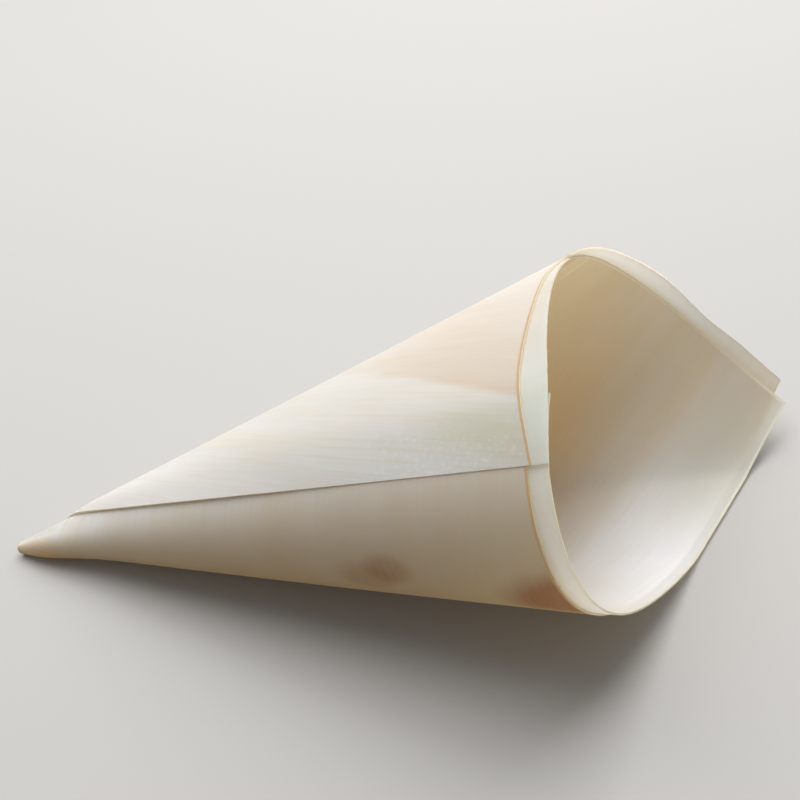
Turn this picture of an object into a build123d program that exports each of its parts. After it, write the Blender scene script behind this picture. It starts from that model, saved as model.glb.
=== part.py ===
from build123d import *

import os
from bisect import bisect
from math import acos, asin, atan, cos, degrees, pi, radians, sin, tan

# Wooden food cone: a double sheet of pale veneer, rolled once round with a lap and lying on its side.
# Every point of the wall is placed by its reach from the virtual apex, its angle in the flat sheet
# and its height above the innermost face. The flat angle is 0 at the long corner of the inner ply,
# grows towards the near side, where the roll starts, and falls towards the far side, where it ends.

# The inner ply: distances from the apex to its corner and to its two straight mouth edges
inner_corner_reach = 130.0
inner_near_reach = 98.5
inner_far_reach = 99.7

# The outer ply is laid on a little askew, so that its mouth edges cross the inner ones
outer_corner_reach = 131.1
outer_near_reach = 95.4
outer_far_reach = 96.5
outer_corner_angle = -1.7

# Veneer, and the blunt tip, whose end is bevelled inwards
ply_thickness = 0.3
lap_gap = 0.15
tip_reach = 1.6
tip_bevel = 2.6
tip_turn_angle = 6.0

# The side edges of the sheet pass the apex at this distance, so the seam winds round the tip
edge_offset = 4.3
edge_tip_reach = 7.0
edge_turn_reach = 48.0
edge_land = 3.0
start_angle = 47.7
end_angle = 48.6

# Along the far mouth edge the outer ply has come away from the inner one
peel_length = 14.0
peel_lift = 1.0
least_peel_length = 0.6
least_peel_lift = 0.06

# The roll: a cone a little out of round, flattened where it rests, with its long corner on the far side
half_angle = 14.55
oval_share = -0.049
oval_lean_share = -0.027
lobe_share = 0.012
lobe_lean_share = -0.037
flat_drop_share = 0.045
corner_rest_angle = -11.2

# Stations along the edges of the panels, and the walk round the roll
station_step = 2.5
edge_stations = 12
walk_turn = 400
walk_count = 800
slope_step = 1.0


def steps(first, last, count):
    """Evenly spread values from first to last."""
    return [first + (last - first) * number / count for number in range(count + 1)]


def section_place(turn):
    """Near and down places of the wall, for one unit of height up the axis, before it is flattened."""
    angle = radians(turn)
    oval = oval_share * cos(2 * angle) + oval_lean_share * sin(2 * angle)
    lobe = lobe_share * cos(3 * angle) + lobe_lean_share * sin(3 * angle)
    spread = tan(radians(half_angle * (1 + oval + lobe)))
    return spread * sin(angle), spread * cos(angle)


walk_turns = steps(-walk_turn, walk_turn, walk_count)
deepest = max(section_place(turn)[1] for turn in walk_turns)
flat_level = deepest * (1 - flat_drop_share)

# The axis rises from the table so that the flattened strip under the cone lies level
axis_tilt = atan(flat_level)
axis_way = Vector(cos(axis_tilt), 0, sin(axis_tilt))
down_way = Vector(sin(axis_tilt), 0, -cos(axis_tilt))
near_way = Vector(0, -1, 0)


def wall_way(turn):
    """Direction of the straight line up the wall, turned from straight down towards the near side."""
    near, down = section_place(turn)
    return (axis_way + near_way * near + down_way * min(down, flat_level)).normalized()


# Flat angle of the sheet that each turn round the roll takes up, counted from straight down
walk_angles = [0]
for before, after in zip(walk_turns, walk_turns[1:]):
    walk_angles.append(walk_angles[-1] + wall_way(before).get_angle(wall_way(after)))
down_angle = walk_angles[walk_count // 2]
turn_angle = walk_angles[bisect(walk_turns, 180)] - walk_angles[bisect(walk_turns, -180)]
wall_step = 2 * ply_thickness + lap_gap

# Flat angles, counted from the long corner, between which the wall lies flat on the table
flat_turns = [turn for turn in walk_turns if abs(turn) < 180 and section_place(turn)[1] > flat_level]
flat_near_angle = walk_angles[bisect(walk_turns, flat_turns[-1])] - down_angle - corner_rest_angle
flat_far_angle = walk_angles[bisect(walk_turns, flat_turns[0]) - 1] - down_angle - corner_rest_angle


def wall_plane(flat_angle):
    """Plane that holds one straight line of the wall: X runs up the wall and Y out of it."""
    angle = flat_angle + corner_rest_angle + down_angle
    place = bisect(walk_angles, angle)
    share = (angle - walk_angles[place - 1]) / (walk_angles[place] - walk_angles[place - 1])
    turn = walk_turns[place - 1] + share * (walk_turns[place] - walk_turns[place - 1])
    round_way = wall_way(turn + slope_step) - wall_way(turn - slope_step)
    return Plane(origin=(0, 0, 0), x_dir=wall_way(turn), z_dir=round_way * -1)


def rim(flat_angle, corner_reach, near_reach, far_reach, corner_angle):
    """Reach of a ply's mouth, whose two straight edges meet at its corner."""
    if flat_angle > corner_angle:
        return near_reach / cos(radians(flat_angle - corner_angle) - acos(near_reach / corner_reach))
    return far_reach / cos(radians(corner_angle - flat_angle) - acos(far_reach / corner_reach))


def inner_rim(flat_angle):
    return rim(flat_angle, inner_corner_reach, inner_near_reach, inner_far_reach, 0)


def outer_rim(flat_angle):
    return rim(flat_angle, outer_corner_reach, outer_near_reach, outer_far_reach, outer_corner_angle)


def edge_angle(reach):
    """Flat angle that a side edge of the sheet is off from its far direction, at this reach."""
    return degrees(asin(edge_offset / reach))


def section(flat_angle, low_reach, inner_reach, outer_reach):
    """Flat angle and outline of the wall: the two plies are one, but for a gap that opens at the mouth."""
    peel_end = edge_angle(edge_turn_reach) - end_angle
    share = (flat_angle - outer_corner_angle) / (peel_end - outer_corner_angle)
    opening = sin(pi * min(max(share, 0), 1)) ** 2
    lift = least_peel_lift + (peel_lift - least_peel_lift) * opening
    root = min(inner_reach, outer_reach) - least_peel_length - (peel_length - least_peel_length) * opening
    bevel = tip_bevel * tip_reach / low_reach
    return flat_angle, [
        (low_reach + bevel, 0),
        (inner_reach, 0),
        (inner_reach, ply_thickness),
        (root, ply_thickness),
        (outer_reach, ply_thickness + lift),
        (outer_reach, 2 * ply_thickness + lift),
        (root, 2 * ply_thickness),
        (low_reach, 2 * ply_thickness),
    ]


def start_section(reach):
    """Section where the starting edge of the roll is at this reach."""
    return section(start_angle + edge_angle(reach), tip_reach, reach, reach * start_outer_share)


def body_section(flat_angle):
    return section(flat_angle, tip_reach, inner_rim(flat_angle), outer_rim(flat_angle))


def seam_section(reach):
    """Section where the seam is at this reach."""
    flat_angle = edge_angle(reach) - end_angle
    return section(flat_angle, reach, inner_rim(flat_angle), outer_rim(flat_angle))


def stations(first, last):
    """Flat angles from first to last, about one station step apart."""
    return steps(first, last, max(1, round(abs(first - last) / station_step)))


def wall_panel(sections):
    """Faces of the wall, ruled between rails that run through the corners of its sections."""
    rails = []
    for number in range(len(sections[0][1])):
        points = []
        for flat_angle, outline in sections:
            reach, height = outline[number]
            rise = wall_step * (start_angle - flat_angle) / turn_angle
            points.append(wall_plane(flat_angle).from_local_coords((reach, rise + height, 0)))
        with BuildLine() as rail:
            add(Edge.make_spline(points, parameters=steps(0, 1, len(points) - 1)))
        rails.append(rail.edge())
    sides = [Face.make_surface_from_curves(rail, rails[number - 1]) for number, rail in enumerate(rails)]
    ends = [Face(Wire.make_polygon([rail @ place for rail in rails])) for place in (0, 1)]
    return sides, ends


# Reaches along a side edge from the tip, growing evenly by ratio, up to where the edge runs straight
edge_growth = edge_turn_reach / edge_tip_reach
tip_reaches = [edge_tip_reach * edge_growth**share for share in steps(0, 1, edge_stations)]

# The starting edge meets the mouth here, and the seam leaves the tip here
start_reach = inner_near_reach
for number in range(edge_stations):  # each pass comes nearer to where the two edges meet
    start_reach = inner_rim(start_angle + edge_angle(start_reach))
start_corner = start_angle + edge_angle(start_reach)
start_outer_share = outer_rim(start_corner) / inner_rim(start_corner)
seam_first = edge_angle(edge_tip_reach) - end_angle
seam_root = seam_first + tip_turn_angle

# The wall from its start to its end: the starting edge, the near side with the flat strip it lies on,
# the far side from the long corners, the turn of the tip and the flap along the seam
panels = [
    [start_section(reach) for reach in tip_reaches],
    [start_section(reach) for reach in steps(edge_turn_reach, start_reach, edge_stations)],
]
body_breaks = [start_corner, flat_near_angle, flat_far_angle, 0, outer_corner_angle, seam_root]
for first, last in zip(body_breaks, body_breaks[1:]):
    panels.append([body_section(flat_angle) for flat_angle in stations(first, last)])
tip_lows = steps(tip_reach, edge_tip_reach, edge_stations)
tip_angles = steps(seam_root, seam_first, edge_stations)
panels.append(
    [
        section(flat_angle, low_reach, inner_rim(flat_angle), outer_rim(flat_angle))
        for flat_angle, low_reach in zip(tip_angles, tip_lows)
    ]
)
panels.append([seam_section(reach) for reach in tip_reaches])
flap_reaches = steps(edge_turn_reach, outer_far_reach - edge_land, edge_stations)
panels.append([seam_section(reach) for reach in flap_reaches])

with BuildPart() as rolled_veneer:
    faces = []
    for panel in panels:
        sides, ends = wall_panel(panel)
        faces += sides
        if panel is panels[0]:
            faces.append(ends[0])
        if panel is panels[-1]:
            faces.append(ends[-1])
    add(Solid(Shell(faces)))

# The origin goes to the middle of the cone's footprint on the table
extent = rolled_veneer.part.bounding_box()
footprint = Location((-extent.center().X, -extent.center().Y, -extent.min.Z))
cone = rolled_veneer.part.moved(footprint)
cone.label = "rolled_veneer"

os.makedirs("parts", exist_ok=True)
export_step(cone, "parts/rolled_veneer.step")
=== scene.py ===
import math

import bpy
import numpy as np
from mathutils import Matrix, Vector, noise


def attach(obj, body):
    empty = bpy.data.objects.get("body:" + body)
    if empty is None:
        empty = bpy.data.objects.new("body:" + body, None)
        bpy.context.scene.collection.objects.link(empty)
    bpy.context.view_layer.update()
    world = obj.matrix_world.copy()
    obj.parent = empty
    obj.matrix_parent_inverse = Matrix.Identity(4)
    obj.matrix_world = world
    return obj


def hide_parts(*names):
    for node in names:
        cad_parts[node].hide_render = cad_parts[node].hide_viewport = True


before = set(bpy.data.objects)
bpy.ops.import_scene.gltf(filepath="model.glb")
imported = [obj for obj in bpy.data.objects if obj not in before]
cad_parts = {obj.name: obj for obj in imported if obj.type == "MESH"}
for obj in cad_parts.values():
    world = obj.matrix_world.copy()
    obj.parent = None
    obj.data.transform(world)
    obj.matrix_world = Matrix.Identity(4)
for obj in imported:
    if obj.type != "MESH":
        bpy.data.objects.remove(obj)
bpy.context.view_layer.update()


# The wooden food cone. Two square sheets of sliced poplar veneer, each about 0.3 mm thick, are glued
# face to face, rolled once round a former with one corner at the tip, and lapped along the front.
# The outer sheet is laid on askew, and its free mouth edge has come away a little from the inner one.
MM = 0.001
APEX = np.array([-64.60, -1.75, 1.00]) * MM
# The cone's angles are in degrees: turns go round its axis, flat angles lie in the unrolled sheet. The
# section is out of round by shares of the half angle, for the cosine and sine of two and three turns
HALF_ANGLE = 14.55
OVAL_SHARES = (-0.049, -0.027)
LOBE_SHARES = (0.012, -0.037)
# A strip along the bottom is flat, where the cone rests
FLAT_DROP_SHARE = 0.045
FLAT_BLEND_SHARE = 0.012


def section(turn):
    """Near and down places of the wall for one unit up the axis: a circle, a little out of round."""
    angle = np.radians(turn)
    oval = OVAL_SHARES[0] * np.cos(2 * angle) + OVAL_SHARES[1] * np.sin(2 * angle)
    lobe = LOBE_SHARES[0] * np.cos(3 * angle) + LOBE_SHARES[1] * np.sin(3 * angle)
    spread = np.tan(np.radians(HALF_ANGLE * (1 + oval + lobe)))
    return spread * np.sin(angle), spread * np.cos(angle)


# Half-degree steps round the cone, a little more than one full turn each way
walk_turns = np.linspace(-400, 400, 1601)
deepest = section(walk_turns)[1].max()
flat_level = deepest * (1 - FLAT_DROP_SHARE)
tilt = math.atan(flat_level)
axis_way = np.array([math.cos(tilt), 0, math.sin(tilt)])
down_way = np.array([math.sin(tilt), 0, -math.cos(tilt)])
near_way = np.array([0, -1, 0])


def wall_way(turn):
    """Directions of the straight lines up the wall, flattened softly where the cone rests."""
    near, down = section(turn)
    blend = deepest * FLAT_BLEND_SHARE
    down = (down + flat_level - np.sqrt((down - flat_level) ** 2 + blend**2)) / 2
    way = axis_way + near[..., None] * near_way + down[..., None] * down_way
    return way / np.linalg.norm(way, axis=-1, keepdims=True)


# The flat angle that has unrolled at each turn, counted from the bottom line
ways = wall_way(walk_turns)
walk_steps = np.degrees(np.arccos(np.clip((ways[1:] * ways[:-1]).sum(1), -1, 1)))
walk_angles = np.concatenate([[0], np.cumsum(walk_steps)])
walk_angles -= np.interp(0, walk_turns, walk_angles)
turn_angle = np.interp(180, walk_turns, walk_angles) - np.interp(-180, walk_turns, walk_angles)

# The sheet starts under the lap and ends at the seam, and its long corner lies a little off the bottom line
START_ANGLE = 47.7
END_ANGLE = -48.6
CORNER_REST_ANGLE = -11.2
# Rolling lifts the wall by one step in a turn, less by the tip, and leaves it slightly buckled
WALL_STEP = 0.75 * MM
STEP_FULL_REACH = 14 * MM
STEP_TIP_SHARE = 0.12
BUCKLE = 0.10 * MM
BUCKLE_RUN = 17 * MM
BUCKLE_PHASE = 40
# The tip is rolled thick and blunt, most of all on its near side
TIP_ROLL = 1.0 * MM
TIP_ROLL_REACH = 4.5 * MM
TIP_ROLL_RUN = 7.5 * MM


def on_wall(flat, reach, height):
    """Points at these flat angles of the sheet, reaches from the apex and heights above the inner face."""
    turn = np.interp(flat + CORNER_REST_ANGLE, walk_angles, walk_turns)
    way = wall_way(turn)
    out = np.cross(wall_way(turn - 1) - wall_way(turn + 1), way)
    out /= np.linalg.norm(out, axis=-1, keepdims=True)
    rise = WALL_STEP * (START_ANGLE - flat) / turn_angle
    rise *= np.clip(reach / STEP_FULL_REACH, STEP_TIP_SHARE, 1)
    buckle = BUCKLE * np.sin(np.radians(3 * turn + BUCKLE_PHASE))
    buckle *= np.sin(reach / BUCKLE_RUN + np.radians(turn))
    tip_roll = TIP_ROLL * np.exp(-(((reach - TIP_ROLL_REACH) / TIP_ROLL_RUN) ** 2))
    tip_roll *= np.clip(np.sin(np.radians(turn)), 0, 1) ** 1.5
    return APEX + way * reach[..., None] + out * (rise + height + buckle + tip_roll)[..., None]


# The inner and the outer ply: reaches of the long corner and of the near and far mouth edge from the apex,
# and flat angles of the corner and of the grain
INNER, OUTER = 0, 1
plies = [
    {"corner": 130.0 * MM, "near": 98.5 * MM, "far": 99.7 * MM, "corner_angle": 0.0, "grain": -45.0},
    {"corner": 131.1 * MM, "near": 95.4 * MM, "far": 96.5 * MM, "corner_angle": -1.7, "grain": -57.0},
]
# Columns run up the sheet beside its straight side edges, which pass the apex at a small offset, and one
# column goes through each long corner
EDGE_OFFSET = 4.3 * MM
EDGE_TIP_REACH = 8.0 * MM
SIDE_COLUMNS = 120
CORNER_COLUMNS = 5
inner_corner, outer_corner = [
    ply["corner_angle"] - math.degrees(math.asin(EDGE_OFFSET / ply["corner"])) for ply in plies
]
lines = np.concatenate([
    np.linspace(START_ANGLE, inner_corner, SIDE_COLUMNS, endpoint=False),
    np.linspace(inner_corner, outer_corner, CORNER_COLUMNS, endpoint=False),
    np.linspace(outer_corner, END_ANGLE, SIDE_COLUMNS + 1),
])

# The mouth edges are cut a little ragged, with coarse and fine steps along each degree. The other numbers
# in the noise below only pick a place in it
RAGGED_COARSE = 0.06 * MM
RAGGED_FINE = 0.03 * MM
COARSE_PER_DEGREE = 1.7
FINE_PER_DEGREE = 6.1
# The inner ply is worn back at both ends of its mouth edge, most at the seam
SEAM_WEAR = 1.5 * MM
SEAM_WEAR_ANGLE = -38
START_WEAR = 0.3 * MM
START_WEAR_ANGLE = 36
END_WEAR_RUN = 8
# The outer ply is worn by the seam and at its corner, and its far edge is bowed out
FLAP_WEAR = 1.1 * MM
FLAP_WEAR_ANGLE = -39
FLAP_WEAR_RUN = 5.5
CORNER_WEAR = 1.0 * MM
CORNER_WEAR_RUN = 3.5
BOW = 2.2 * MM
BOW_ANGLE = -17.5
BOW_RUN = 8
rims = []
for number, ply in enumerate(plies):
    near_foot = ply["corner_angle"] + math.degrees(math.acos(ply["near"] / ply["corner"]))
    far_foot = ply["corner_angle"] - math.degrees(math.acos(ply["far"] / ply["corner"]))
    rim = np.full(len(lines), ply["near"])
    # A few rounds settle where each slanting column meets the straight mouth edges
    for _ in range(6):
        angle = lines + np.degrees(np.arcsin(EDGE_OFFSET / rim))
        near_rim = ply["near"] / np.cos(np.radians(angle - near_foot))
        far_rim = ply["far"] / np.cos(np.radians(angle - far_foot))
        rim = np.where(angle > ply["corner_angle"], near_rim, far_rim)
    coarse = [noise.noise(Vector((7 * number, place * COARSE_PER_DEGREE, 3.1))) for place in angle]
    fine = [noise.noise(Vector((3, place * FINE_PER_DEGREE, number))) for place in angle]
    rim += RAGGED_COARSE * np.array(coarse) + RAGGED_FINE * np.array(fine)
    if number == INNER:
        rim -= SEAM_WEAR * np.clip((SEAM_WEAR_ANGLE - angle) / END_WEAR_RUN, 0, 1) ** 2
        rim -= START_WEAR * np.clip((angle - START_WEAR_ANGLE) / END_WEAR_RUN, 0, 1) ** 2
    else:
        rim -= FLAP_WEAR * np.exp(-(((angle - FLAP_WEAR_ANGLE) / FLAP_WEAR_RUN) ** 2))
        rim -= CORNER_WEAR * np.clip(1 - abs(angle - ply["corner_angle"]) / CORNER_WEAR_RUN, 0, 1)
        rim += BOW * np.exp(-(((angle - BOW_ANGLE) / BOW_RUN) ** 4))
    rims.append(rim)
inner_rim, outer_rim = rims

# Along the far mouth edge the plies have come apart, from the root of the gap outwards
GAP_DEPTH = 0.05 * MM
LIFT_LEAST = 0.04 * MM
LIFT_MORE = 0.12 * MM
GAP_START_ANGLE = -5
GAP_START_RUN = 10
GAP_END_RUN = 6
opening = np.clip((GAP_START_ANGLE - lines) / GAP_START_RUN, 0, 1)
opening *= np.clip((lines - END_ANGLE) / GAP_END_RUN, 0, 1)
root = np.minimum(inner_rim, outer_rim) - GAP_DEPTH
lift = LIFT_LEAST + LIFT_MORE * opening

# The outline of the wall at every column: inner face, cut edge, strip of the inner ply, lifted face of the
# outer ply, cut edge, outer face, and back to the start round the blunt tip. Rows lie closer at both ends
PLY = 0.30 * MM
WALL = 2 * PLY
STRIP_DROP = 0.01 * MM
TIP_IN = 1.6 * MM
TIP_OUT = 0.4 * MM
GAP_ROWS = 10
row_shares = np.concatenate([np.linspace(0, 0.95, 50) ** 1.6, np.linspace(0.928, 0.9955, 14), [1]])
gap_shares = np.linspace(0, 1, GAP_ROWS + 1)[1:]
face_rows = len(row_shares)
ones = np.ones(len(lines))
reach = [TIP_IN + (inner_rim - TIP_IN) * share for share in row_shares] + [inner_rim]
height = [0 * ones] * face_rows + [(PLY - STRIP_DROP) * ones]
reach += [inner_rim + (root - inner_rim) * share for share in gap_shares]
height += [(PLY - STRIP_DROP * (1 - share)) * ones for share in gap_shares]
reach += [root + (outer_rim - root) * share for share in gap_shares] + [outer_rim]
height += [PLY + lift * share**2 for share in gap_shares] + [WALL + lift]
for share in row_shares[::-1][1:]:
    reach.append(TIP_OUT + (outer_rim - TIP_OUT) * share)
    height.append(WALL + lift * np.clip((reach[-1] - root) / (outer_rim - root), 0, 1) ** 2)
reach, height = np.stack(reach, 1), np.stack(height, 1)
flat = lines[:, None] + np.degrees(np.arcsin(EDGE_OFFSET / np.maximum(reach, EDGE_TIP_REACH)))

# The flap is thinned and pressed flat beside the seam, more towards the mouth and at the very tip
PRESSED_RUN = 8
THIN_SHARE = 0.35
THIN_MOUTH_SHARE = 0.45
THIN_TIP_SHARE = 0.9
SUNK = 0.03 * MM
SUNK_MOUTH = 0.08 * MM
MOUTH_HALF_REACH = 45 * MM
MOUTH_HALF_RUN = 25 * MM
TIP_END_REACH = 16 * MM
TIP_END_RUN = 10 * MM
pressed = np.clip(1 - (lines[:, None] - END_ANGLE) / PRESSED_RUN, 0, 1)
pressed = pressed**2 * (3 - 2 * pressed)
mouth_half = np.clip((reach - MOUTH_HALF_REACH) / MOUTH_HALF_RUN, 0, 1)
tip_end = np.clip((TIP_END_REACH - reach) / TIP_END_RUN, 0, 1)
thinned = np.maximum(THIN_SHARE + THIN_MOUTH_SHARE * mouth_half, THIN_TIP_SHARE * tip_end)
height = height * (1 - thinned * pressed) - pressed * (SUNK + SUNK_MOUTH * mouth_half)
points = on_wall(flat, reach, height)

# Beside the mouth, where one ply stands out beyond the other, the wall is single
SINGLE_RUN = 1.2 * MM
single = np.ones(reach.shape)
single[:, :face_rows] = np.clip((reach[:, :face_rows] - outer_rim[:, None]) / SINGLE_RUN, 0, 1)
single[:, -face_rows:] = np.clip((reach[:, -face_rows:] - inner_rim[:, None]) / SINGLE_RUN, 0, 1)

# Face marks tell the material which face it is on. Each span of the outline has its rows, ply, mark and kind
# Two rows by the mouth carry painted light: a painted highlight on the inner ply, a painted shadow on the
# outer
RIM_HIGHLIGHT, INSIDE, STRIP, LIFTED, OUTSIDE, RIM_SHADOW = range(6)
FACE, CUT = 0, 1
spans = [
    (face_rows - 2, INNER, INSIDE, FACE),
    (1, INNER, RIM_HIGHLIGHT, FACE),
    (1, INNER, INSIDE, CUT),
    (GAP_ROWS, INNER, STRIP, FACE),
    (GAP_ROWS, OUTER, LIFTED, FACE),
    (1, OUTER, OUTSIDE, CUT),
    (1, OUTER, RIM_SHADOW, FACE),
    (face_rows - 2, OUTER, OUTSIDE, FACE),
    (1, OUTER, OUTSIDE, CUT),
]
span_of_row = [span for span in spans for _ in range(span[0])]
# Places along and across the grain of each ply
sheets = []
for ply in plies:
    turned = np.radians(flat - ply["grain"])
    sheets.append(np.stack([reach * np.cos(turned), reach * np.sin(turned)], -1))
columns, rows = reach.shape
faces, face_kinds, face_sheets = [], [], []
for column in range(columns - 1):
    for row, (_, number, face_mark, kind) in enumerate(span_of_row):
        after = (row + 1) % rows
        ring = [(column, row), (column, after), (column + 1, after), (column + 1, row)]
        faces.append([c * rows + r for c, r in ring])
        face_kinds.append(kind)
        face_sheets.extend([(*sheets[number][place], face_mark) for place in ring])
# The two side edges are closed by a ladder of faces from the tip up, with one last face at the mouth
ladder = [(row, rows - 1 - row, rows - 2 - row, row + 1) for row in range(face_rows - 1)]
mouth_end = tuple(range(rows - face_rows, face_rows - 2, -1))
for column, way in ((0, -1), (columns - 1, 1)):
    for ring in ladder + [mouth_end]:
        faces.append([column * rows + row for row in ring[::way]])
        face_kinds.append(CUT)
        face_sheets.extend([(*sheets[OUTER][column, row], OUTSIDE) for row in ring[::way]])

SHARP_ANGLE = 40
mesh = bpy.data.meshes.new("rolled_veneer_sheet")
mesh.from_pydata(points.reshape(-1, 3).tolist(), [], faces)
sheet_marks = mesh.attributes.new("sheet", "FLOAT_VECTOR", "CORNER")
sheet_marks.data.foreach_set("vector", np.array(face_sheets, np.float32).ravel())
single_marks = mesh.attributes.new("single", "FLOAT", "POINT")
single_marks.data.foreach_set("value", single.astype(np.float32).ravel())
mesh.polygons.foreach_set("material_index", face_kinds)
mesh.polygons.foreach_set("use_smooth", [True] * len(face_kinds))
mesh.set_sharp_from_angle(angle=math.radians(SHARP_ANGLE))
mesh.update()
cone = bpy.data.objects.new("rolled_veneer_cone", mesh)
bpy.context.scene.collection.objects.link(cone)
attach(cone, "root")
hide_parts("rolled_veneer")


def colour(code):
    """A linear colour from an sRGB hex code."""
    parts = [int(code[i:i + 2], 16) / 255 for i in (1, 3, 5)]
    return [p / 12.92 if p <= 0.04045 else ((p + 0.055) / 1.055) ** 2.4 for p in parts] + [1]


def node(material, kind, settings=None, **links):
    """Adds a node, sets properties and sockets, and links sockets (i0 is the first, Base_Color a name)."""
    made = material.node_tree.nodes.new(kind)
    for name, value in (settings or {}).items():
        if isinstance(name, str) and hasattr(made, name):
            setattr(made, name, value)
        else:
            made.inputs[name].default_value = value
    for name, source in links.items():
        numbered = name[0] == "i" and name[1:].isdigit()
        socket = made.inputs[int(name[1:]) if numbered else name.replace("_", " ")]
        material.node_tree.links.new(source, socket)
    return made


# Sliced poplar veneer: nearly white wood with a silky sheen, seen as fine straight fibres, soft growth
# bands and warm or greenish clouds; light that soaks through it comes out honey-coloured.
veneer = bpy.data.materials.new("sliced poplar veneer")
veneer.use_nodes = True
veneer.node_tree.nodes.clear()
cone.data.materials.append(veneer)
sheet = node(veneer, "ShaderNodeAttribute", {"attribute_name": "sheet"}).outputs["Vector"]
along, across, mark = node(veneer, "ShaderNodeSeparateXYZ", Vector=sheet).outputs
# Fine fibres, growth bands that run on for most of the sheet, and drawn-out clouds: size along and across
# the grain, detail and roughness of each. Every face mark shows its own part of the pattern. Real fibres
# are finer than these, which are as coarse as they need to be to show
FACE_SHIFT = 9
patterns = []
for length, width, detail, roughness in (
    (14.286 * MM, 0.5263 * MM, 4.0, 0.6),
    (83.33 * MM, 7.143 * MM, 2.0, 0.5),
    (31.25 * MM, 16.667 * MM, 3.0, 0.55),
):
    stretch = (1 / length, 1 / width, FACE_SHIFT)
    drawn = node(veneer, "ShaderNodeVectorMath", {"operation": "MULTIPLY", 1: stretch}, i0=sheet).outputs[0]
    grain_look = {"Scale": 1.0, "Detail": detail, "Roughness": roughness}
    patterns.append(node(veneer, "ShaderNodeTexNoise", grain_look, Vector=drawn).outputs["Fac"])
fibres, bands, clouds = patterns
# The inside faces are warmer than the outside ones, and both shade from pale to deep along the bands
outward = node(veneer, "ShaderNodeMapRange", {"From Min": INSIDE, "From Max": STRIP}, Value=mark).outputs[0]
pale_colours = {"data_type": "RGBA", 6: colour("#edebe6"), 7: colour("#e1e8ef")}
deep_colours = {"data_type": "RGBA", 6: colour("#e4dac6"), 7: colour("#d7dad8")}
pale = node(veneer, "ShaderNodeMix", pale_colours, i0=outward).outputs[2]
deep = node(veneer, "ShaderNodeMix", deep_colours, i0=outward).outputs[2]
band_share = node(veneer, "ShaderNodeMapRange", {"From Min": 0.3, "From Max": 0.7}, Value=bands).outputs[0]
tint = node(veneer, "ShaderNodeMix", {"data_type": "RGBA"}, i0=band_share, i6=pale, i7=deep).outputs[2]
cloud_range = {"From Min": 0.5, "From Max": 0.75, "To Max": 0.28}
cloud_share = node(veneer, "ShaderNodeMapRange", cloud_range, Value=clouds).outputs[0]
cloud_colour = {"data_type": "RGBA", 7: colour("#ebdcc8")}
tint = node(veneer, "ShaderNodeMix", cloud_colour, i0=cloud_share, i6=tint).outputs[2]
on_outside = {"operation": "GREATER_THAN", 1: OUTSIDE - 0.5}
outermost = node(veneer, "ShaderNodeMath", on_outside, i0=mark).outputs[0]


def outer_zone(under, code, strength, edges):
    """Lays a colour on the outer face within edges: a value, where it starts, where it is full, a ramp."""
    share = node(veneer, "ShaderNodeMath", {"operation": "MULTIPLY", 1: strength}, i0=outermost).outputs[0]
    for value, start, full, ramp in edges:
        limits = {"interpolation_type": ramp, "From Min": start, "From Max": full}
        edge = node(veneer, "ShaderNodeMapRange", limits, Value=value).outputs[0]
        share = node(veneer, "ShaderNodeMath", {"operation": "MULTIPLY"}, i0=share, i1=edge).outputs[0]
    laid_on = {"data_type": "RGBA", 7: colour(code)}
    return node(veneer, "ShaderNodeMix", laid_on, i0=share, i6=under).outputs[2]


# Painted shade: darker olive on the side the outside lies on, between two bearings from the grain (radians)
bearing = node(veneer, "ShaderNodeMath", {"operation": "ARCTAN2"}, i0=across, i1=along).outputs[0]
tint = outer_zone(tint, "#a48e66", 0.85, [
    (bearing, 1.95, 1.50, "SMOOTHSTEP"),
    (bearing, 0.6, 1.1, "SMOOTHSTEP"),
])
# A pinkish band of the outer ply ends sharply, slanting a little to the grain, half-way up the flap
PINK_SLANT = 0.152
slant_settings = {"operation": "MULTIPLY_ADD", 1: PINK_SLANT}
slant = node(veneer, "ShaderNodeMath", slant_settings, i0=along, i2=across).outputs[0]
tint = outer_zone(tint, "#d4cbc3", 0.9, [
    (slant, 40.3 * MM, 41.5 * MM, "SMOOTHSTEP"),
    (slant, 66 * MM, 41.5 * MM, "LINEAR"),
    (along, 40 * MM, 85 * MM, "SMOOTHSTEP"),
])
# One ply lets more light through than two, and whiter
alone = node(veneer, "ShaderNodeAttribute", {"attribute_name": "single"}).outputs["Fac"]
glow_colours = {"data_type": "RGBA", 6: colour("#faebcc"), 7: colour("#fffcf6")}
glow_tint = node(veneer, "ShaderNodeMix", glow_colours, i0=alone).outputs[2]
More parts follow.
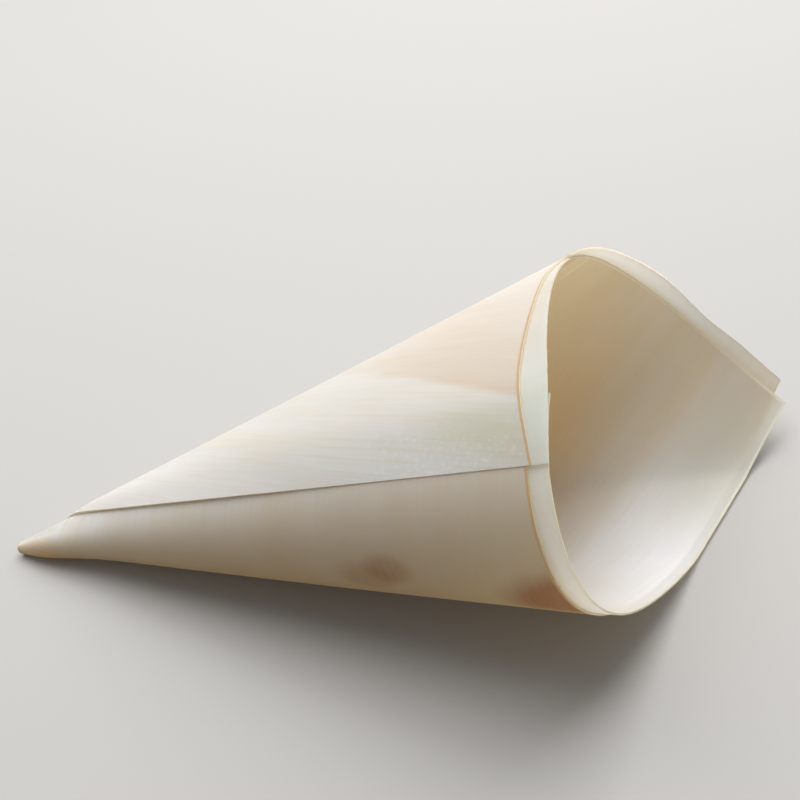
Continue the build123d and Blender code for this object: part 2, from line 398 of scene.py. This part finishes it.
# Patches on the faces: face mark, ply, flat angle and reach (mm) of the middle, half length along the grain
# and half width across it (mm), colour, strength and softness of the edge. The brown patches also colour the
# light that comes through them. Several pale, grey and tan patches are painted light and shade, as marked
# Brown patches low on the outer face, by the mouth and part way up
brown_patches = [
    (OUTSIDE, OUTER, 35.2, 70.6, 5.0, 6.0, "#8a5430", 0.45, 0.25),
    (OUTSIDE, OUTER, 33.6, 67.0, 5.0, 8.0, "#8a5834", 0.32, 0.25),
    (OUTSIDE, OUTER, 31.8, 95.0, 10.0, 12.0, "#874c2a", 0.85, 0.25),
]
# Painted sheen: a cool near-white patch on the inside bottom by the mouth, which also lets less light through
painted_sheen = (INSIDE, INNER, 15.0, 103.0, 36.0, 22.0, "#f4f8ff", 0.90, 0.5)
tints = [
    (OUTSIDE, OUTER, 20.0, 6.5, 3.6, 8.0, "#c98f50", 0.70, 0.5),
    (OUTSIDE, OUTER, -43.0, 91.0, 16.0, 5.0, "#cfd4c4", 0.80, 0.5),
    # Painted highlight: a pale cool band just above the seam towards the mouth
    (OUTSIDE, OUTER, -44.5, 76.0, 40.0, 6.0, "#e6f0f4", 0.70, 0.5),
    # Painted light: near-white on the outer ply's lifted inner face by the far rim, for light shining through
    # it
    (LIFTED, OUTER, -18.0, 108.0, 44.0, 30.0, "#f6f6f4", 0.95, 0.5),
    (LIFTED, OUTER, -3.0, 127.0, 20.0, 16.0, "#e8ddcb", 0.90, 0.5),
    (STRIP, INNER, 44.0, 99.0, 30.0, 8.0, "#e0ebe6", 0.85, 0.5),
    (STRIP, INNER, -42.0, 99.0, 34.0, 10.0, "#dcebea", 0.95, 0.5),
    # Painted light: near-white on the inner ply's strip low by the near rim, which lies in shade
    (STRIP, INNER, 28.0, 100.0, 34.0, 18.0, "#fdf9f0", 0.95, 0.5),
    # Painted shade: warm tan on the far inside wall, which the top of the cone keeps in shade
    (INSIDE, INNER, -12.0, 92.0, 34.0, 16.0, "#dfc195", 0.50, 0.5),
    (INSIDE, INNER, -30.0, 90.0, 34.0, 16.0, "#e0c28c", 0.50, 0.5),
    (INSIDE, INNER, -3.0, 89.0, 30.0, 16.0, "#f8d4a2", 0.80, 0.5),
    painted_sheen,
    # Painted shade: grey on the inside by the long corner, which lies in shade
    (INSIDE, INNER, 3.0, 119.0, 26.0, 12.0, "#c4c6be", 0.80, 0.5),
    # Painted shade and painted highlight: a dark strip on the far inside wall by the rim, and a thin bright
    # line
    (INSIDE, INNER, -22.8, 102.0, 8.0, 2.6, "#a98f5a", 0.60, 0.5),
    (INSIDE, INNER, -20.1, 102.9, 7.0, 0.6, "#fbf0d2", 0.95, 0.5),
    # Painted light: a pale patch on the flap beside the seam towards the tip, lifting its shade
    (OUTSIDE, OUTER, -42.0, 38.0, 34.0, 9.0, "#f2f6fa", 0.80, 0.5),
]
# Patches fray with the clouds, and the mark's own scale keeps each on its face
PATCH_EDGE = 0.9
FRAY = 0.7
MARK_SCALE = 4
for patch in brown_patches + tints:
    face_mark, number, at_angle, at_reach, long_half, wide_half, code, strength, softness = patch
    turned = math.radians(at_angle - plies[number]["grain"])
    middle = (at_reach * MM * math.cos(turned), at_reach * MM * math.sin(turned), face_mark)
    per_half = (1 / (long_half * MM), 1 / (wide_half * MM), MARK_SCALE)
    off = node(veneer, "ShaderNodeVectorMath", {"operation": "SUBTRACT", 1: middle}, i0=sheet).outputs[0]
    scaled = node(veneer, "ShaderNodeVectorMath", {"operation": "MULTIPLY", 1: per_half}, i0=off).outputs[0]
    distance = node(veneer, "ShaderNodeVectorMath", {"operation": "LENGTH"}, i0=scaled).outputs["Value"]
    frayed_settings = {"operation": "MULTIPLY_ADD", 1: FRAY}
    frayed = node(veneer, "ShaderNodeMath", frayed_settings, i0=clouds, i2=distance).outputs[0]
    limits = {"From Min": PATCH_EDGE + softness, "From Max": PATCH_EDGE - softness, "To Max": strength}
    limits["interpolation_type"] = "SMOOTHSTEP"
    cover = node(veneer, "ShaderNodeMapRange", limits, Value=frayed).outputs[0]
    tint = node(veneer, "ShaderNodeMix", {"data_type": "RGBA", 7: colour(code)}, i0=cover, i6=tint).outputs[2]
    if patch in brown_patches:
        brown_glow = {"data_type": "RGBA", 7: colour("#d0a682")}
        glow_tint = node(veneer, "ShaderNodeMix", brown_glow, i0=cover, i6=glow_tint).outputs[2]
    if patch is painted_sheen:
        sheen_cover = cover
# Painted shadow and highlight at the mouth edges: a honey-brown line along the outer ply's edge for the
# shadow of the gap there, and a pale line along the inner ply's edge for the light it catches
for operation, limit, code, strength in (
    ("GREATER_THAN", RIM_SHADOW - 0.5, "#c9964e", 0.7),
    ("LESS_THAN", RIM_HIGHLIGHT + 0.5, "#fdf8ea", 0.9),
):
    line = node(veneer, "ShaderNodeMath", {"operation": operation, 1: limit}, i0=mark).outputs[0]
    share = node(veneer, "ShaderNodeMath", {"operation": "MULTIPLY", 1: strength}, i0=line).outputs[0]
    tint = node(veneer, "ShaderNodeMix", {"data_type": "RGBA", 7: colour(code)}, i0=share, i6=tint).outputs[2]
# Painted glints: white speckles in a band along the seam for its sparkle, drawn coarse enough to show
SPECKLE = 0.6667 * MM
speckle_look = {"Scale": 1 / SPECKLE, "Detail": 2.0}
speckles = node(veneer, "ShaderNodeTexNoise", speckle_look, Vector=sheet).outputs["Fac"]
tint = outer_zone(tint, "#f8fcfc", 0.7, [
    (speckles, 0.52, 0.72, "LINEAR"),
    (across, 26 * MM, 16 * MM, "SMOOTHSTEP"),
    (along, 62 * MM, 76 * MM, "SMOOTHSTEP"),
])
# The fibres show as darker lines, deeper outside, and stand up a little
FIBRE_RELIEF = 0.1 * MM
fibre_range = {"From Min": 0.46, "From Max": 0.76}
fibre_share = node(veneer, "ShaderNodeMapRange", fibre_range, Value=fibres).outputs[0]
depth_range = {"To Min": 0.14, "To Max": 0.32}
depth = node(veneer, "ShaderNodeMapRange", depth_range, Value=outermost).outputs[0]
fibre_share = node(veneer, "ShaderNodeMath", {"operation": "MULTIPLY"}, i0=fibre_share, i1=depth).outputs[0]
fibre_colour = {"data_type": "RGBA", 7: colour("#c9b187")}
tint = node(veneer, "ShaderNodeMix", fibre_colour, i0=fibre_share, i6=tint).outputs[2]
bump = node(veneer, "ShaderNodeBump", {"Strength": 0.2, "Distance": FIBRE_RELIEF}, Height=fibres).outputs[0]
rough = node(veneer, "ShaderNodeMapRange", {"To Min": 0.42, "To Max": 0.66}, Value=clouds).outputs[0]
sheen = {"Specular IOR Level": 0.4}
wood = node(veneer, "ShaderNodeBsdfPrincipled", sheen, Base_Color=tint, Roughness=rough, Normal=bump)
# The share of light that goes through: more where one ply is alone, less under the painted sheen
glow = node(veneer, "ShaderNodeBsdfTranslucent", Color=glow_tint).outputs[0]
through = node(veneer, "ShaderNodeMapRange", {"To Min": 0.40, "To Max": 0.60}, Value=alone).outputs[0]
sheen_less_through = {"operation": "MULTIPLY_ADD", 1: -0.12}
through = node(veneer, "ShaderNodeMath", sheen_less_through, i0=sheen_cover, i2=through).outputs[0]
thin_wood = node(veneer, "ShaderNodeMixShader", Fac=through, i1=wood.outputs[0], i2=glow).outputs[0]
node(veneer, "ShaderNodeOutputMaterial", Surface=thin_wood)

# Cut veneer edge: open wood where the sheet is trimmed, matt and a little yellower than the faces.
cut = bpy.data.materials.new("cut veneer edge")
cut.use_nodes = True
cut.node_tree.nodes.clear()
cone.data.materials.append(cut)
end_grain = {"Base Color": colour("#f3e6c8"), "Roughness": 0.75}
cut_wood = node(cut, "ShaderNodeBsdfPrincipled", end_grain).outputs[0]
node(cut, "ShaderNodeOutputMaterial", Surface=cut_wood)


# The floor. A plain pale board, painted matt, that the cone lies on and that takes its shadow.
# To the eye, and in glossy or clear things, it runs on into a pale backdrop.
FLOOR_HALF = 3.0
BACKDROP = "#d8d8d7"
BACKDROP_START = 0.14
BACKDROP_FULL = 0.6
floor_corners = [(x * FLOOR_HALF, y * FLOOR_HALF, 0) for x, y in ((-1, -1), (1, -1), (1, 1), (-1, 1))]
floor_mesh = bpy.data.meshes.new("floor")
floor_mesh.from_pydata(floor_corners, [], [(0, 1, 2, 3)])
floor = bpy.data.objects.new("floor", floor_mesh)
bpy.context.scene.collection.objects.link(floor)


def backdrop_rays(material):
    """1 for camera, glossy and clear rays. Rays scattered through the veneer would light the cone with it."""
    ray = node(material, "ShaderNodeLightPath").outputs
    passed, scattered = ray["Is Transmission Ray"], ray["Is Diffuse Ray"]
    seen = node(material, "ShaderNodeMath", {"operation": "SUBTRACT"}, i0=passed, i1=scattered)
    for name in ("Is Camera Ray", "Is Glossy Ray"):
        seen = node(material, "ShaderNodeMath", {"operation": "MAXIMUM"}, i0=seen.outputs[0], i1=ray[name])
    return seen.outputs[0]


# Painted board: an even, matt pale grey.
board = bpy.data.materials.new("pale board")
board.use_nodes = True
board.node_tree.nodes.clear()
floor_mesh.materials.append(board)
paint = {"Base Color": colour("#adaba8"), "Roughness": 0.8}
board_face = node(board, "ShaderNodeBsdfPrincipled", paint).outputs[0]
backdrop = node(board, "ShaderNodeEmission", {"Color": colour(BACKDROP)}).outputs[0]
place = node(board, "ShaderNodeNewGeometry").outputs["Position"]
way_off = node(board, "ShaderNodeVectorMath", {"operation": "LENGTH"}, i0=place).outputs["Value"]
fade = {"interpolation_type": "SMOOTHSTEP", "From Min": BACKDROP_START, "From Max": BACKDROP_FULL}
faded = node(board, "ShaderNodeMapRange", fade, Value=way_off).outputs[0]
shown = node(board, "ShaderNodeMath", {"operation": "MULTIPLY"}, i0=backdrop_rays(board), i1=faded).outputs[0]
board_mix = node(board, "ShaderNodeMixShader", Fac=shown, i1=board_face, i2=backdrop).outputs[0]
node(board, "ShaderNodeOutputMaterial", Surface=board_mix)


# The light. A large soft box hangs above and behind the cone on its left, a weaker one on its right looks
# into the mouth, and a pale room fills in. Places and sizes are in metres, powers in watts.
for place, size, power in (((-0.14, 0.26, 0.62), 0.6, 5.4), ((0.16, 0.36, 0.46), 0.4, 2.4)):
    box_light = bpy.data.lights.new("soft box", "AREA")
    box_light.size = size
    box_light.energy = power
    lamp = bpy.data.objects.new("soft box", box_light)
    bpy.context.scene.collection.objects.link(lamp)
    lamp.location = place
    lamp.rotation_mode = "QUATERNION"
    lamp.rotation_quaternion = (-lamp.location).to_track_quat("-Z", "Y")
room = bpy.data.worlds.new("pale room")
bpy.context.scene.world = room
room.use_nodes = True
room.node_tree.nodes.clear()
room_light = node(room, "ShaderNodeBackground", {"Color": colour("#eef1f4"), "Strength": 0.32}).outputs[0]
room_seen = node(room, "ShaderNodeBackground", {"Color": colour(BACKDROP)}).outputs[0]
room_mix = node(room, "ShaderNodeMixShader", Fac=backdrop_rays(room), i1=room_light, i2=room_seen).outputs[0]
node(room, "ShaderNodeOutputWorld", Surface=room_mix)


# The camera, at the photo's viewing angle: it looks down into the mouth from the near side, rolled a little.
# Its focal length is matched in pixels of the square picture.
PICTURE_PIXELS = 800
FOCAL_PIXELS = 1300
SENSOR = 36
ELEVATION, AZIMUTH, ROLL = math.radians(44.6), math.radians(9.36), math.radians(8.06)
CAMERA_PLACE = Vector((24.4, -133.64, 165.14)) * MM
view = bpy.data.cameras.new("camera")
view.sensor_width = SENSOR
view.lens = FOCAL_PIXELS * SENSOR / PICTURE_PIXELS
view.clip_start = 10 * MM
camera = bpy.data.objects.new("camera", view)
bpy.context.scene.collection.objects.link(camera)
level = Vector((math.cos(AZIMUTH), math.sin(AZIMUTH), 0))
ahead = Vector((-math.sin(AZIMUTH), math.cos(AZIMUTH), 0))
back = Vector((0, 0, math.sin(ELEVATION))) - ahead * math.cos(ELEVATION)
rising = back.cross(level)
right = level * math.cos(ROLL) - rising * math.sin(ROLL)
up = level * math.sin(ROLL) + rising * math.cos(ROLL)
looking = Matrix((right, up, back)).transposed().to_4x4()
camera.matrix_world = Matrix.Translation(CAMERA_PLACE) @ looking
bpy.context.scene.camera = camera
bpy.context.scene.view_settings.view_transform = "Standard"
